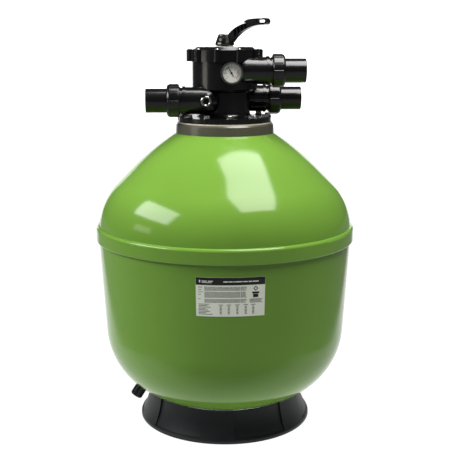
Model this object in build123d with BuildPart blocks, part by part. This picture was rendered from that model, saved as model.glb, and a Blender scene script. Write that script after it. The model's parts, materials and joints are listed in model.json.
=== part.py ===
from build123d import *
import os
from math import acos, asin, cos, degrees, radians, sin, sqrt, tan

# Top-mount sand filter: a two-piece pressure tank on a skirt base, with a six-way selector valve.
# Row frame: millimetres, +Z up, origin on the floor under the tank's axis, -Y to the front.

os.makedirs("parts", exist_ok=True)

# ---------------------------------------------------------------- tank
tank_wall = 6.0
wall_radius = 310.4  # outer radius of the lower wall just under the belt
belt_low_z = 461.0
belt_height = 36.0
belt_overhang = 7.1
lap_height = 21.0  # how far the upper shell's skirt laps the lower shell
joint_gap = 0.25

lower_draft = 3.33
lower_knuckle_top_z = 232.1
lower_knuckle_radius = 182.3
lower_knuckle_end = 70.0  # the knuckle turns down to this angle below horizontal

upper_wall_step = 0.2  # the upper wall is this much narrower than the lower wall
upper_knuckle_rise = 26.5  # the upper knuckle starts this far above the belt's lower edge
upper_knuckle_radius = 156.3
upper_cone_angle = 45.0
upper_cone_length = 58.5
upper_crown_radius = 557.3

belt_high_z = belt_low_z + belt_height
belt_radius = wall_radius + belt_overhang
joint_z = belt_low_z + lap_height  # where the upper shell's shoulder sits on the lower shell's lip
wall_mark_z = belt_low_z - 5
upper_wall_radius = wall_radius - upper_wall_step
upper_knuckle_low_z = belt_low_z + upper_knuckle_rise

# ---------------------------------------------------------------- base
base_rim_radius = 214.8
base_rim_height = 7.0
base_mid_radius = 197.2
base_mid_z = 42.0
base_top_radius = 190.4
base_top_z = 74.0
base_wall = 6.0
base_rib_depth = 4.0
base_foot_width = 17.0
base_foot_height = 5.0
base_panels = 6
panel_arc = 37.0
panel_azimuth = 22.5
panel_low_z = 12.0
seat_gap = 0.3

# ---------------------------------------------------------------- unions and ports, from the pipe outwards
running_gap = 0.05
loose_gap = 0.3
pipe_socket_radius = 24.2
pipe_socket_depth = 34.0
tail_wall = 4.3
tail_length = 60.0
tail_collar = 5.1
port_bore = pipe_socket_radius - 2.7
tail_radius = pipe_socket_radius + tail_wall
port_radius = tail_radius + 3.5
port_thread_radius = port_radius + 1
port_ring_radius = port_radius + 2
thread_pitch = 4.0
thread_depth = 1.4
thread_turns = 4
nut_wall = 5.6
nut_length = 30.0
nut_overlap = 20.0  # how much of the port's end the nut covers
nut_ribs = 12
nut_lip = 4.3
nut_radius = port_thread_radius + nut_wall
port_oring_radius = port_bore + 5.7
port_oring_section = 1.5
port_groove_half = 1.8
port_groove_depth = 3.2

# ---------------------------------------------------------------- valve body
column_radius = 61.0
column_wall = 5.0
column_flare = 12.0
bowl_step = 18.0
bowl_wall = 5.0
bowl_radius = column_radius + bowl_step
web_thick = 4.0
body_flange_thick = 14.0
port_offset = 48.0
port_reach = 51.0  # from the bowl's skin to a port's end face
port_start = port_radius + 13
port_face = bowl_radius + port_reach
nut_low = port_face - nut_overlap
nut_high = nut_low + nut_length
tail_end = port_face + tail_length
rotor_rim = 6.0  # seat around the chambers, where the rotor's gasket seals
rotor_radius = bowl_radius - bowl_wall - 2
chamber_mouth = rotor_radius - rotor_rim

# ---------------------------------------------------------------- neck and flange
gasket_thick = 2.5
flange_thick = 12.0
flange_bolts_count = 12
flange_bolt_phase = 4.0
flange_bolt_radius = 4.0
bolt_head_width = 13.0
bolt_head_height = 5.3
bolt_depth = 12.0  # how far the bolts reach into the neck ring
washer_radius = 8.0
washer_thick = 1.6
boss_radius = 9.5
boss_rise = 1.2
flange_bolt_circle = column_radius + 44
flange_radius = flange_bolt_circle + 8
gasket_radius = flange_radius + 1.5
neck_opening = 90.0
neck_wall = 12.0
neck_bore = neck_opening - neck_wall
neck_top_radius = flange_radius + 3
neck_side_radius = neck_top_radius + 3.2
neck_foot_radius = neck_side_radius + 1.1
neck_rise = 7.288  # from the edge of the shell's opening to the ring's top
neck_depth = 23.0

# ---------------------------------------------------------------- lid, rotor and handle
lid_bolt_count = 10
lid_bolt_phase = 21.3
lid_boss_radius = 8.5
lid_screw_radius = 2.5
lid_screw_head_radius = 5.2
lid_screw_head_height = 5.0
lid_well_depth = 3.0
lid_insert_radius = 4.2
lid_insert_depth = 12.0
lid_flange_radius = bowl_radius + 5
lid_bolt_circle = lid_flange_radius
lid_flange_thick = 14.0
lid_top_radius = bowl_radius - 10
lid_height = 20.0
lid_roof = 8.0
lid_spigot_depth = 7.0
lid_groove_height = 3.0
lid_groove_depth = 2.6
rotor_gasket_thick = 2.5
rotor_thick = 17.0
stem_radius = 9.5
stem_rise = 25.0  # above the lid
stem_groove_half = 1.35
stem_groove_depth = 2.5
spring_radius = stem_radius + 12
spring_wire = 1.5
spring_turns = 5
washer_height = 1.5
thrust_washer_height = 1.5
heel_gap = 0.4
handle_azimuth = 60.0
handle_low_radius = 23.5
handle_top_radius = 16.0
handle_rise = 30.0  # top of the hub above the lid
handle_heel = 19.0
pin_rise = 17.0
pin_radius = 4.0
pin_half = 23.0
arm_half = 8.0
arm_web = 2.2
arm_skin = 2.6
grip_half = 11.0
# the arm's underside and top: reach from the spindle, then height above the lid
arm_under_points = ((22.5, 11.0), (49.3, 35.7), (106.5, 50.9))
arm_over_points = ((13.0, 30.0), (31.8, 45.1), (60.0, 55.6))
grip_over_points = ((64.5, 63.5), (84.0, 65.6), (104.0, 65.6))
grip_nose = (115.4, 58.2)
arm_pocket_reaches = (33, 42, 51, 60)
grip_eye = (99.0, 59.3)

# ---------------------------------------------------------------- gauge and sight glass
gauge_azimuth = 6.0
gauge_rise = 18.0  # above the rotor's seat
gauge_case_radius = 24.0
gauge_dial_radius = 22.2
gauge_window_radius = 21.5
gauge_stem_radius = 4.75
gauge_boss_radius = 11.0
gauge_bezel_radius = gauge_case_radius + 1
gauge_boss_end = bowl_radius + 7
gauge_back = gauge_boss_end + 8
gauge_front = gauge_back + 21
gauge_dial_seat = gauge_back + 12
needle_rest = -30.0  # where the pointer lies at rest, clockwise from straight up
sight_x = 47.0
sight_lens_radius = 11.5
sight_lens_thick = 4.2
sight_seal_thick = 1.8
sight_bore = 7.5
sight_boss_radius = sight_lens_radius + 4.5
sight_front_y = port_offset + port_radius + 4

# ---------------------------------------------------------------- inside the tank
pipe_radius = 24.15
pipe_wall = 3.0
pipe_gap = 0.2
riser_radius = pipe_radius + 4.85
riser_groove_depth = 2.55
riser_oring_section = 1.3
lateral_count = 8
pivot_radius = 46.0
pivot_z = 100.0
pipe_low_z = pivot_z - 8
lateral_radius = 12.0
lateral_wall = 2.5
lateral_root = 60.0
lateral_tip = 195.0
lateral_slits = 12
tongue_thick = 8.0
trunnion_radius = 3.0
trunnion_half = 8.0
diffuser_radius = column_radius + 1
diffuser_depth = 55.0

# ---------------------------------------------------------------- drain
drain_azimuth = -75.0
drain_angle = 56.0  # below horizontal, square to the shell there
drain_tube_radius = 9.5
drain_tube_wall = 3.0
drain_tube_end = 26.0
drain_seat = 2.6  # where the spigot's flange starts, out from the shell
drain_flange_radius = drain_tube_radius + 4
drain_screen_radius = drain_tube_radius + 2
drain_cap_radius = drain_tube_radius + 5.2
drain_cap_start = 4.5
drain_cap_length = 25.5
drain_seal_thick = 1.7

# ---------------------------------------------------------------- label
label_drop = 28.0  # below the belt
label_height = 90.0
label_width = 154.0
label_thick = 0.4
label_gap = 0.05


def save(solid, name):
    solid.label = name
    export_step(solid, f"parts/{name}.step")


def heading(azimuth):
    """Unit vector of an azimuth counted from the front, -Y, towards +X."""
    return Vector(sin(radians(azimuth)), -cos(radians(azimuth)), 0)


def meridian(azimuth):
    """Plane through the tank's axis: local x outwards at this azimuth, local y up."""
    out = heading(azimuth)
    return Plane(origin=(0, 0, 0), x_dir=out, z_dir=out.cross(Vector(0, 0, 1)))


def radial_plane(azimuth, radius, z):
    """Plane that faces outwards at this azimuth, with local y up."""
    out = heading(azimuth)
    return Plane(origin=out * radius + Vector(0, 0, z), x_dir=Vector(0, 0, 1).cross(out), z_dir=out)


def make_ring(inner, outer, low, high):
    with BuildPart() as ring:
        with BuildSketch(Plane.XY.offset(low)):
            Circle(outer)
            Circle(inner, mode=Mode.SUBTRACT)
        extrude(amount=high - low)
    return ring.part


def make_oring(plane, mean_radius, section_radius):
    with BuildPart(plane) as ring:
        Torus(mean_radius, section_radius)
    return ring.part


def on_circle(solid, count, step):
    """Copies of a solid about the tank's axis, as one group."""
    return Compound(children=[solid.rotate(Axis.Z, step * k) for k in range(count)])


# ================================================================ tank shells
# Lower shell: a spherical crown, a toroidal knuckle and a slightly conical wall, all tangent.
draft_tan = tan(radians(lower_draft))
lower_knuckle_r = (
    wall_radius
    - (wall_mark_z - lower_knuckle_top_z) * draft_tan
    - lower_knuckle_radius * cos(radians(lower_draft))
)
lower_knuckle_z = lower_knuckle_top_z + lower_knuckle_radius * sin(radians(lower_draft))
crown_shift = lower_knuckle_r / cos(radians(lower_knuckle_end))
lower_crown_radius = lower_knuckle_radius + crown_shift
lower_crown_z = lower_knuckle_z + crown_shift * sin(radians(lower_knuckle_end))


def lower_wall_r(z, inset):
    """Radius of the lower wall at a height, moved inwards by inset."""
    return wall_radius + (z - wall_mark_z) * draft_tan - inset / cos(radians(lower_draft))


def lower_curve(inset, top_z):
    """Meridian of the lower shell from its pole up to top_z, moved inwards by inset."""
    centre = (lower_knuckle_r, lower_knuckle_z)
    CenterArc((0, lower_crown_z), lower_crown_radius - inset, -90, 90 - lower_knuckle_end)
    knuckle = CenterArc(
        centre, lower_knuckle_radius - inset, -lower_knuckle_end, lower_knuckle_end - lower_draft
    )
    Line(knuckle @ 1, (lower_wall_r(top_z, inset), top_z))


def make_lower_envelope(inset, top_z):
    """The filled body of revolution inside the lower shell's meridian."""
    with BuildPart() as envelope:
        with BuildSketch(Plane.XZ):
            with BuildLine():
                lower_curve(inset, top_z)
                Line((lower_wall_r(top_z, inset), top_z), (0, top_z))
                Line((0, top_z), (0, lower_crown_z - lower_crown_radius + inset))
            make_face()
        revolve(axis=Axis.Z)
    return envelope.part


# Upper shell: the belt that laps the lower shell, a knuckle, a cone and a crown up to the neck.
upper_knuckle_r = upper_wall_radius - upper_knuckle_radius
cone_out = Vector(cos(radians(upper_cone_angle)), sin(radians(upper_cone_angle)))
cone_along = Vector(-sin(radians(upper_cone_angle)), cos(radians(upper_cone_angle)))
upper_knuckle_centre = Vector(upper_knuckle_r, upper_knuckle_low_z)
upper_crown_centre = (
    upper_knuckle_centre
    + cone_out * (upper_knuckle_radius - upper_crown_radius)
    + cone_along * upper_cone_length
)


def crown_angle(radius, inset):
    """Angle on the upper crown's arc where it reaches this radius."""
    return degrees(acos((radius - upper_crown_centre.X) / (upper_crown_radius - inset)))


def crown_point(radius, inset):
    turn = radians(crown_angle(radius, inset))
    reach = upper_crown_radius - inset
    return upper_crown_centre + Vector(reach * cos(turn), reach * sin(turn))


def upper_curve(inset, start_turn, end_radius):
    """Meridian of the upper shell from its knuckle up to end_radius, moved inwards by inset."""
    knuckle = CenterArc(
        upper_knuckle_centre, upper_knuckle_radius - inset, start_turn, upper_cone_angle - start_turn
    )
    crown_start = upper_crown_centre + cone_out * (upper_crown_radius - inset)
    Line(knuckle @ 1, crown_start)
    CenterArc(
        upper_crown_centre,
        upper_crown_radius - inset,
        upper_cone_angle,
        crown_angle(end_radius, inset) - upper_cone_angle,
    )


belt_turn = degrees(asin((belt_high_z - upper_knuckle_low_z) / upper_knuckle_radius))
belt_inner_r = upper_knuckle_r + upper_knuckle_radius * cos(radians(belt_turn))
belt_round = belt_radius - belt_inner_r

with BuildPart() as upper_tank:
    with BuildSketch(Plane.XZ):
        with BuildLine():
            upper_curve(0, belt_turn, neck_opening)
            Line(crown_point(neck_opening, 0), crown_point(neck_opening, tank_wall))
            upper_curve(tank_wall, 0, neck_opening)
            inner_r = upper_wall_radius - tank_wall
            Polyline(
                (inner_r, upper_knuckle_low_z),
                (inner_r, joint_z),
                (lower_wall_r(joint_z, -joint_gap), joint_z),
                (lower_wall_r(belt_low_z, -joint_gap), belt_low_z),
                (belt_radius - 1.2, belt_low_z),
                (belt_radius, belt_low_z + 1.6),
                (belt_radius, belt_high_z - belt_round),
            )
            CenterArc((belt_inner_r, belt_high_z - belt_round), belt_round, 0, 90)
        make_face()
    revolve(axis=Axis.Z)

# ================================================================ drain axis
drain_tilt = radians(drain_angle)
drain_out = heading(drain_azimuth) * cos(drain_tilt) + Vector(0, 0, -sin(drain_tilt))
drain_foot = heading(drain_azimuth) * (lower_knuckle_r + lower_knuckle_radius * cos(drain_tilt)) + Vector(
    0, 0, lower_knuckle_z - lower_knuckle_radius * sin(drain_tilt)
)
drain_side = Vector(0, 0, 1).cross(heading(drain_azimuth))


def drain_plane(offset):
    """Plane square to the drain's axis, this far out from the shell's outer face."""
    return Plane(origin=drain_foot + drain_out * offset, x_dir=drain_side, z_dir=drain_out)


def make_drain_ring(inner, outer, low, high):
    with BuildPart() as ring:
        with BuildSketch(drain_plane(low)):
            Circle(outer)
            if inner > 0:
                Circle(inner, mode=Mode.SUBTRACT)
        extrude(amount=high - low)
    return ring.part


with BuildPart() as lower_tank:
    with BuildSketch(Plane.XZ):
        with BuildLine():
            lower_curve(0, joint_z)
            Line((lower_wall_r(joint_z, 0), joint_z), (lower_wall_r(joint_z, tank_wall), joint_z))
            lower_curve(tank_wall, joint_z)
            pole_z = lower_crown_z - lower_crown_radius
            Line((0, pole_z), (0, pole_z + tank_wall))
        make_face()
    revolve(axis=Axis.Z)
    with BuildSketch(drain_plane(5)):
        Circle(drain_tube_radius + loose_gap)
    extrude(amount=-(tank_wall + 16), mode=Mode.SUBTRACT)

save(lower_tank.part, "lower_tank")
save(upper_tank.part, "upper_tank")

# ================================================================ base
# A flared skirt with six shallow panels between ribs. Its top edge follows the lower knuckle.
base_trim = 12.0  # spare height that the tank's underside cuts off
with BuildPart() as base:
    with BuildSketch(Plane.XZ):
        with BuildLine():
            flare = ThreePointArc(
                (base_rim_radius, base_rim_height),
                (base_mid_radius + base_rib_depth, base_mid_z),
                (base_top_radius + base_rib_depth, base_top_z),
            )
            inner_top = base_top_radius - base_wall
            foot_inner = base_rim_radius - base_foot_width
            Polyline(
                flare @ 1,
                (base_top_radius + base_rib_depth, base_top_z + base_trim),
                (inner_top, base_top_z + base_trim),
                (inner_top, base_top_z - base_trim),
            )
            hollow = ThreePointArc(
                (inner_top, base_top_z - base_trim),
                (base_mid_radius - base_wall, base_mid_z - 6),
                (base_rim_radius - base_wall - 4, base_foot_height),
            )
            Polyline(
                hollow @ 1,
                (foot_inner, base_foot_height),
                (foot_inner, 0),
                (base_rim_radius - 0.8, 0),
                (base_rim_radius, 1.2),
                (base_rim_radius, base_rim_height),
            )
        make_face()
    revolve(axis=Axis.Z)
    for k in range(base_panels):
        with BuildSketch(meridian(panel_azimuth - panel_arc / 2 + k * 360 / base_panels)):
            with BuildLine():
                panel = ThreePointArc(
                    (base_rim_radius - 5.2, panel_low_z),
                    (base_mid_radius, base_mid_z),
                    (base_top_radius, base_top_z + 14),
                )
                Polyline(
                    panel @ 1,
                    (base_rim_radius + 5, base_top_z + 14),
                    (base_rim_radius + 5, panel_low_z - 1.5),
                    (base_rim_radius - 4.6, panel_low_z - 1.5),
                    panel @ 0,
                )
            make_face()
        revolve(axis=Axis.Z, revolution_arc=panel_arc, mode=Mode.SUBTRACT)
    add(make_lower_envelope(-seat_gap, wall_mark_z), mode=Mode.SUBTRACT)

save(base.part, "base")

# ================================================================ heights, from the shell's neck upwards
neck_top_z = crown_point(neck_opening, 0).Y + neck_rise
neck_collar_low_z = neck_top_z - neck_depth
bolt_tip_z = neck_top_z - bolt_depth
flange_low_z = neck_top_z + gasket_thick
flange_top_z = flange_low_z + flange_thick
boss_top_z = flange_top_z + boss_rise
head_low_z = boss_top_z + washer_thick
head_top_z = head_low_z + bolt_head_height
annulus_top_z = flange_top_z + 5.5
chamber_floor_z = annulus_top_z + web_thick
riser_bore_top_z = chamber_floor_z + 6
low_port_z = head_top_z + port_radius + 0.4
bowl_low_z = low_port_z + 22
seat_z = bowl_low_z + 26  # top of the port plate, where the rotor's gasket lies
high_port_z = seat_z + port_bore + 0.5
split_z = high_port_z + port_radius + 3  # between the valve's body and its lid
body_flange_low_z = split_z - body_flange_thick
lid_insert_low_z = split_z - lid_insert_depth
lid_top_z = split_z + lid_height
lid_roof_low_z = lid_top_z - lid_roof
stem_top_z = lid_top_z + stem_rise
handle_top_z = lid_top_z + handle_rise
pin_z = lid_top_z + pin_rise
gauge_z = seat_z + gauge_rise
diffuser_low_z = neck_top_z - diffuser_depth
riser_groove_z = flange_low_z + 14.5

# ================================================================ neck ring and flange bolts
bolt_angles = [flange_bolt_phase - 90 + k * 360 / flange_bolts_count for k in range(flange_bolts_count)]

with BuildPart() as neck_ring:
    with BuildSketch(Plane.XZ):
        with BuildLine():
            collar = neck_opening - seat_gap
            foot_turn = crown_angle(neck_foot_radius, -seat_gap)
            under = CenterArc(
                upper_crown_centre,
                upper_crown_radius + seat_gap,
                foot_turn,
                crown_angle(collar, -seat_gap) - foot_turn,
            )
            Polyline(
                under @ 1,
                (collar, neck_collar_low_z),
                (neck_bore, neck_collar_low_z),
                (neck_bore, neck_top_z),
                (neck_top_radius, neck_top_z),
                (neck_side_radius, neck_top_z - 4),
                under @ 0,
            )
        make_face()
    revolve(axis=Axis.Z)
    with BuildSketch(Plane.XY.offset(neck_top_z)):
        with PolarLocations(flange_bolt_circle, flange_bolts_count, start_angle=bolt_angles[0]):
            Circle(flange_bolt_radius + running_gap)
    extrude(amount=bolt_tip_z - 1 - neck_top_z, mode=Mode.SUBTRACT)

save(neck_ring.part, "neck_ring")

with BuildPart() as flange_gasket:
    with BuildSketch(Plane.XY.offset(neck_top_z)):
        Circle(gasket_radius)
        Circle(neck_bore, mode=Mode.SUBTRACT)
        with PolarLocations(flange_bolt_circle, flange_bolts_count, start_angle=bolt_angles[0]):
            Circle(flange_bolt_radius + loose_gap, mode=Mode.SUBTRACT)
    extrude(amount=gasket_thick)

save(flange_gasket.part, "flange_gasket")

bolt_heading = heading(flange_bolt_phase) * flange_bolt_circle

with BuildPart() as flange_bolt:
    with BuildSketch(Plane(origin=bolt_heading + Vector(0, 0, head_low_z), z_dir=(0, 0, 1))):
        RegularPolygon(bolt_head_width / 2, 6, major_radius=False)
    extrude(amount=bolt_head_height)
    chamfer(flange_bolt.edges().group_by(Axis.Z)[-1], 0.6)
    with BuildSketch(Plane(origin=bolt_heading + Vector(0, 0, bolt_tip_z), z_dir=(0, 0, 1))):
        Circle(flange_bolt_radius)
    extrude(amount=head_low_z - bolt_tip_z)

with BuildPart() as flange_washer:
    with BuildSketch(Plane(origin=bolt_heading + Vector(0, 0, boss_top_z), z_dir=(0, 0, 1))):
        Circle(washer_radius)
        Circle(flange_bolt_radius + loose_gap, mode=Mode.SUBTRACT)
    extrude(amount=washer_thick)

bolt_step = 360 / flange_bolts_count
save(on_circle(flange_bolt.part, flange_bolts_count, bolt_step), "flange_bolts")
save(on_circle(flange_washer.part, flange_bolts_count, bolt_step), "flange_washers")

# ================================================================ valve body
ports = {
    "pump": (1, -port_offset, high_port_z),
    "return": (1, port_offset, low_port_z),
    "waste": (-1, -port_offset, low_port_z),
}
lid_angles = [lid_bolt_phase - 90 + k * 360 / lid_bolt_count for k in range(lid_bolt_count)]
chamber_r = column_radius - column_wall
port_root = bowl_radius + 4  # where the port ends start
gauge_thread_length = 14.0


def port_plane(side, y, z, along):
    """Plane square to a port's axis, at this distance from the valve's axis."""
    return Plane(origin=(side * along, y, z), x_dir=(0, 1, 0), z_dir=(side, 0, 0))


def port_section(side, y, z):
    """Plane through a port's axis: local x outwards along the port, local y up."""
    return Plane(origin=(0, y, z), x_dir=(side, 0, 0), z_dir=(0, -side, 0))


def make_sector(inner, outer, low, high, middle, half_web):
    """A sixth of a ring about the valve's axis, less half a web's thickness at each side."""
    with BuildPart() as sector:
        with BuildSketch(Plane.XY.offset(low)):
            with BuildLine():
                start = middle - 30
                lead_in = degrees(asin(half_web / inner))
                lead_out = degrees(asin(half_web / outer))
                near = CenterArc((0, 0), inner, start + lead_in, 60 - 2 * lead_in)
                far = CenterArc((0, 0), outer, start + lead_out, 60 - 2 * lead_out)
                Line(near @ 0, far @ 0)
                Line(near @ 1, far @ 1)
            make_face()
        extrude(amount=high - low)
    return sector.part


sight_plane = Plane(origin=(-sight_x, -sight_front_y, low_port_z), x_dir=(1, 0, 0), z_dir=(0, -1, 0))
gauge_seat = radial_plane(gauge_azimuth, gauge_boss_end, gauge_z)

with BuildPart() as valve_body:
    # outer skin of revolution: flange, column, bowl and top flange
    with BuildSketch(Plane.XZ):
        with BuildLine():
            Polyline(
                (0, flange_low_z),
                (flange_radius, flange_low_z),
                (flange_radius, flange_top_z),
                (column_radius + column_flare, flange_top_z),
            )
            RadiusArc(
                (column_radius + column_flare, flange_top_z),
                (column_radius, flange_top_z + column_flare),
                column_flare,
            )
            Polyline(
                (column_radius, flange_top_z + column_flare),
                (column_radius, bowl_low_z - 4),
                (column_radius + 4, bowl_low_z),
                (bowl_radius - 4, bowl_low_z),
                (bowl_radius, bowl_low_z + 4),
                (bowl_radius, body_flange_low_z),
                (lid_flange_radius, body_flange_low_z),
                (lid_flange_radius, split_z),
                (0, split_z),
                (0, flange_low_z),
            )
        make_face()
    revolve(axis=Axis.Z)
    # bolt bosses on both flanges
    with BuildSketch(Plane.XY.offset(flange_low_z + 3)):
        with PolarLocations(flange_bolt_circle, flange_bolts_count, start_angle=bolt_angles[0]):
            Circle(boss_radius)
    extrude(amount=boss_top_z - flange_low_z - 3)
    with BuildSketch(Plane.XY.offset(body_flange_low_z)):
        with PolarLocations(lid_bolt_circle, lid_bolt_count, start_angle=lid_angles[0]):
            Circle(lid_boss_radius)
    extrude(amount=split_z - body_flange_low_z)
    # roots of the three ports, each with a rounded inner end
    for side, y, z in ports.values():
        with BuildSketch(port_section(side, y, z)):
            with BuildLine():
                ThreePointArc(
                    (port_start - port_radius, 0),
                    (port_start - port_radius * cos(radians(45)), port_radius * sin(radians(45))),
                    (port_start, port_radius),
                )
                Polyline(
                    (port_start, port_radius),
                    (port_root, port_radius),
                    (port_root, 0),
                    (port_start - port_radius, 0),
                )
            make_face()
        revolve(axis=Axis((0, y, z), (side, 0, 0)))
    # bosses for the gauge and the sight glass
    with BuildSketch(gauge_seat):
        Circle(gauge_boss_radius)
    extrude(amount=-gauge_thread_length)
    with BuildSketch(sight_plane):
        Circle(sight_boss_radius)
    extrude(amount=-(sight_front_y - port_offset))
    # bowl above the port plate
    with BuildSketch(Plane.XY.offset(seat_z)):
        Circle(bowl_radius - bowl_wall)
    extrude(amount=split_z - seat_z, mode=Mode.SUBTRACT)
    # six chambers under the port plate, with webs between them
    for k in range(6):
        middle = k * 60
        add(make_sector(riser_radius, chamber_r, chamber_floor_z, seat_z, middle, web_thick / 2),
            mode=Mode.SUBTRACT)
        add(make_sector(riser_radius, chamber_mouth, bowl_low_z + 6, seat_z, middle, web_thick / 2),
            mode=Mode.SUBTRACT)
    # annular passage from the tank's top, open to one chamber
    with BuildSketch(Plane.XY.offset(flange_low_z)):
        Circle(chamber_r)
        Circle(riser_radius, mode=Mode.SUBTRACT)
    extrude(amount=annulus_top_z - flange_low_z, mode=Mode.SUBTRACT)
    add(make_sector(riser_radius, chamber_r, flange_low_z, seat_z, 120, web_thick / 2),
        mode=Mode.SUBTRACT)
    # socket for the standpipe, with its o-ring groove, open to the opposite chamber
    with BuildSketch(Plane.XY.offset(flange_low_z)):
        Circle(pipe_radius + pipe_gap)
    extrude(amount=riser_bore_top_z - flange_low_z, mode=Mode.SUBTRACT)
    with BuildSketch(Plane.XY.offset(riser_bore_top_z)):
        Circle(pipe_radius - pipe_wall)
    extrude(amount=30, mode=Mode.SUBTRACT)
    with BuildSketch(Plane(origin=(0, 0, riser_bore_top_z + 15), x_dir=(0, 1, 0), z_dir=(1, 0, 0))):
        Circle(13)
    extrude(amount=riser_radius + 5, mode=Mode.SUBTRACT)
    with BuildSketch(Plane.XY.offset(riser_groove_z - riser_oring_section - 0.1)):
        Circle(pipe_radius + pipe_gap + riser_groove_depth)
    extrude(amount=2 * riser_oring_section + 0.2, mode=Mode.SUBTRACT)
    # port bores
    for side, y, z in ports.values():
        with BuildSketch(port_plane(side, y, z, port_root)):
            Circle(port_bore)
        extrude(amount=-(port_root - 20), mode=Mode.SUBTRACT)
    # gauge tapping and sight port
    with BuildSketch(gauge_seat):
        Circle(gauge_stem_radius + running_gap)
    extrude(amount=-(gauge_thread_length + 6), mode=Mode.SUBTRACT)
    with BuildSketch(sight_plane):
        Circle(sight_lens_radius + loose_gap)
    extrude(amount=-(sight_lens_thick + sight_seal_thick), mode=Mode.SUBTRACT)
    with BuildSketch(sight_plane):
        Circle(sight_bore)
    extrude(amount=-(sight_front_y - port_offset), mode=Mode.SUBTRACT)
    # bolt holes
    with BuildSketch(Plane.XY.offset(flange_low_z)):
        with PolarLocations(flange_bolt_circle, flange_bolts_count, start_angle=bolt_angles[0]):
            Circle(flange_bolt_radius + loose_gap)
    extrude(amount=boss_top_z - flange_low_z, mode=Mode.SUBTRACT)
    with BuildSketch(Plane.XY.offset(lid_insert_low_z)):
        with PolarLocations(lid_bolt_circle, lid_bolt_count, start_angle=lid_angles[0]):
            Circle(lid_insert_radius + running_gap)
    extrude(amount=split_z - lid_insert_low_z, mode=Mode.SUBTRACT)

save(valve_body.part, "valve_body")

# ================================================================ port ends
# Each branch runs on from its root with a ring, a threaded end and an o-ring groove in its face.
for name, (side, y, z) in ports.items():
    axis = Axis((0, y, z), (side, 0, 0))
    with BuildPart() as port_end:
        with BuildSketch(port_section(side, y, z)):
            with BuildLine():
                Polyline(
                    (port_root, port_bore),
                    (port_root, port_radius),
                    (nut_low - 14, port_radius),
                    (nut_low - 14, port_ring_radius),
                    (nut_low - 7, port_ring_radius),
                    (nut_low - 7, port_radius - 1.5),
                    (nut_low - 2, port_radius - 1.5),
                    (nut_low - 2, port_thread_radius),
                    (port_face - 1, port_thread_radius),
                    (port_face, port_thread_radius - 1),
                    (port_face, port_bore),
                    (port_root, port_bore),
                )
            make_face()
        revolve(axis=axis)
        with BuildSketch(port_plane(side, y, z, port_face)):
            Circle(port_oring_radius + port_groove_half)
            Circle(port_oring_radius - port_groove_half, mode=Mode.SUBTRACT)
        extrude(amount=-port_groove_depth, mode=Mode.SUBTRACT)
        for turn in range(thread_turns):
            along = nut_low + 1.5 + turn * thread_pitch
            with BuildSketch(port_section(side, y, z)):
                with BuildLine():
                    Polyline(
                        (along, port_thread_radius + 1),
                        (along + thread_pitch / 2, port_thread_radius - thread_depth),
                        (along + thread_pitch, port_thread_radius + 1),
                        (along, port_thread_radius + 1),
                    )
                make_face()
            revolve(axis=axis, mode=Mode.SUBTRACT)
    save(port_end.part, f"{name}_port")

# ================================================================ lid and its screws
lid_flange_top = split_z + lid_flange_thick
spigot_r = bowl_radius - bowl_wall - loose_gap
lid_hub_low_z = lid_roof_low_z - 10
lid_groove_top_z = split_z - 1.6
lid_groove_low_z = lid_groove_top_z - lid_groove_height

with BuildPart() as valve_lid:
    with BuildSketch(Plane.XZ):
        with BuildLine():
            Polyline(
                (stem_radius + running_gap, lid_hub_low_z),
                (stem_radius + 6, lid_hub_low_z),
                (stem_radius + 6, lid_roof_low_z),
                (spigot_r - 6, lid_roof_low_z),
                (spigot_r - 6, split_z - lid_spigot_depth),
                (spigot_r, split_z - lid_spigot_depth),
                (spigot_r, lid_groove_low_z),
                (spigot_r - lid_groove_depth, lid_groove_low_z),
                (spigot_r - lid_groove_depth, lid_groove_top_z),
                (spigot_r, lid_groove_top_z),
                (spigot_r, split_z),
                (lid_flange_radius, split_z),
                (lid_flange_radius, lid_flange_top - 1),
                (lid_flange_radius - 1, lid_flange_top),
                (lid_top_radius + 5, lid_flange_top),
                (lid_top_radius, lid_top_z - 1.5),
                (lid_top_radius - 1.5, lid_top_z),
                (stem_radius + running_gap, lid_top_z),
                (stem_radius + running_gap, lid_hub_low_z),
            )
        make_face()
    revolve(axis=Axis.Z)
    with BuildSketch(Plane.XY.offset(split_z)):
        with PolarLocations(lid_bolt_circle, lid_bolt_count, start_angle=lid_angles[0]):
            Circle(lid_boss_radius)
    extrude(amount=lid_flange_thick)
    with BuildSketch(Plane.XY.offset(split_z)):
        with PolarLocations(lid_bolt_circle, lid_bolt_count, start_angle=lid_angles[0]):
            Circle(lid_screw_radius + loose_gap)
    extrude(amount=lid_flange_thick, mode=Mode.SUBTRACT)
    # countersunk wells for the screw heads
    with BuildSketch(Plane.XY.offset(lid_flange_top)):
        with PolarLocations(lid_bolt_circle, lid_bolt_count, start_angle=lid_angles[0]):
            Circle(lid_screw_head_radius + 1)
    extrude(amount=-lid_well_depth, mode=Mode.SUBTRACT)

save(valve_lid.part, "valve_lid")

lid_groove_z = (lid_groove_low_z + lid_groove_top_z) / 2
save(make_oring(Plane.XY.offset(lid_groove_z), spigot_r - lid_groove_depth / 2 + 0.05, 1.2), "lid_oring")

screw_place = heading(lid_bolt_phase) * lid_bolt_circle
screw_head_z = lid_flange_top - lid_well_depth
screw_top_z = screw_head_z + lid_screw_head_height

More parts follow.
